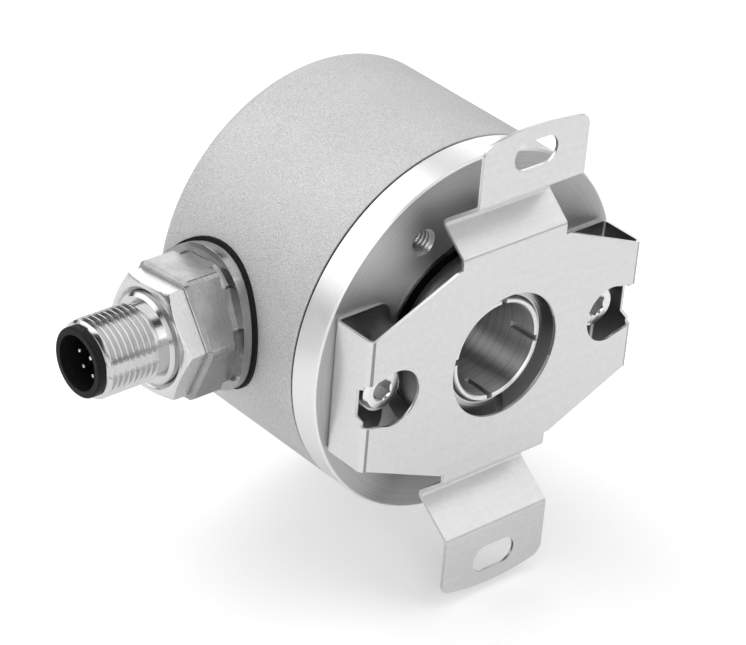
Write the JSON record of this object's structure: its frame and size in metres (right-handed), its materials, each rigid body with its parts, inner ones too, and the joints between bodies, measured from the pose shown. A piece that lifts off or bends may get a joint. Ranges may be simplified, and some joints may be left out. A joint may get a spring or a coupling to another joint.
{
  "type": "rotary encoder",
  "caption": "Absolute rotary encoder with a blind hollow shaft, clamping ring, spring steel stator coupling and a radial round plug connector.",
  "frame": {"origin": "on the shaft axis, at the flange's front face", "axes": "-Y along the shaft axis, out of the hollow shaft's mouth; the housing runs back along +Y; -X along the connector; +Z towards the upper tab of the coupling"},
  "size_m": [0.0815, 0.0471, 0.0772],
  "materials": {
    "turned_aluminium": "turned, fine concentric lines",
    "cast_aluminium": "die cast, matt with a fine grain",
    "stainless_steel": "turned",
    "spring_steel": "rolled sheet, satin",
    "bearing_steel": "ground and lapped",
    "bright_screw_steel": "bright zinc plated",
    "nickel_plated_brass": "nickel plated, glossy",
    "contact_brass": "plated, bright",
    "black_rubber": "moulded, matt",
    "insert_plastic": "moulded, dark grey",
    "cage_plastic": "moulded, natural",
    "coded_glass": "clear, with an etched track",
    "board_laminate": "lacquered laminate",
    "chip_plastic": "moulded, black",
    "lead_plastic": "flat film lead, amber"
  },
  "bodies": {
    "stator": {"front_flange": "turned_aluminium", "rear_housing": "cast_aluminium", "housing_seal": "black_rubber", "shaft_seal": "black_rubber", "stator_coupling": "spring_steel", "coupling_screws": "bright_screw_steel", "coupling_washers": "stainless_steel", "front_bearing_outer_ring": "bearing_steel", "rear_bearing_outer_ring": "bearing_steel", "preload_spring": "spring_steel", "hub_retaining_ring": "spring_steel", "board_posts": "nickel_plated_brass", "circuit_board": "board_laminate", "board_screws": "bright_screw_steel", "board_chips": "chip_plastic", "read_head": "chip_plastic", "light_source": "chip_plastic", "light_lead": "lead_plastic", "connector_gasket": "black_rubber", "connector_base": "nickel_plated_brass", "connector_nut": "nickel_plated_brass", "connector_shell": "nickel_plated_brass", "connector_insert": "insert_plastic", "connector_pins": "contact_brass", "connector_lead": "lead_plastic"},
    "rotor": {"hollow_shaft": "stainless_steel", "clamping_ring": "stainless_steel", "clamp_screw": "bright_screw_steel", "front_bearing_inner_ring": "bearing_steel", "rear_bearing_inner_ring": "bearing_steel", "bearing_spacer": "stainless_steel", "shaft_circlip": "spring_steel", "disc_hub": "turned_aluminium", "code_disc": "coded_glass"},
    "front_cage": {"front_bearing_cage": "cage_plastic", "front_bearing_balls": "bearing_steel"},
    "rear_cage": {"rear_bearing_cage": "cage_plastic", "rear_bearing_balls": "bearing_steel"}
  },
  "joints": [
    {"name": "shaft_spin", "type": "hinge", "parent": "stator", "child": "rotor", "pos_m": [0, 0, 0], "axis": [0, 1, 0], "continuous": true},
    {"name": "front_cage_spin", "type": "hinge", "parent": "stator", "child": "front_cage", "pos_m": [0, 0.0093, 0], "axis": [0, 1, 0], "continuous": true},
    {"name": "rear_cage_spin", "type": "hinge", "parent": "stator", "child": "rear_cage", "pos_m": [0, 0.0181, 0], "axis": [0, 1, 0], "continuous": true}
  ],
  "couplings": [
    {"joint": "front_cage_spin", "follows": "shaft_spin", "ratio": 0.4327},
    {"joint": "rear_cage_spin", "follows": "shaft_spin", "ratio": 0.4327}
  ]
}
